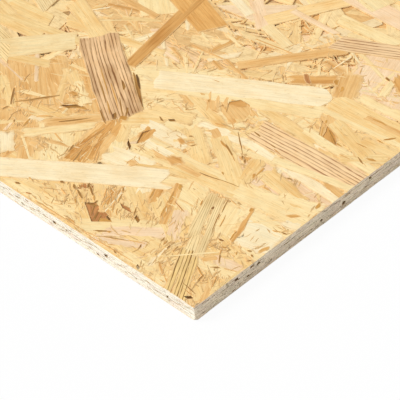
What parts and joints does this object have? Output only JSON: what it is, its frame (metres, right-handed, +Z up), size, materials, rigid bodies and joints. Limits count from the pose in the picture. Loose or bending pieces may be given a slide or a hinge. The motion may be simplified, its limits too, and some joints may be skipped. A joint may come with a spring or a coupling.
{
  "type": "osb panel",
  "caption": "Full-size flat sheet of oriented strand board with square sawn edges, for sheathing walls, floors and roofs.",
  "frame": {"origin": "on the underside of the sheet, in the middle of it", "axes": "+X along the sheet's length, the way most of its face strands run, +Y across its width, +Z up through its thickness"},
  "size_m": [2.44, 1.22, 0.011],
  "materials": {
    "pressed_strands": "pressed wood strands, unsanded, matt with a faint waxy sheen"
  },
  "bodies": {
    "root": {"osb_panel": "pressed_strands"}
  },
  "joints": []
}
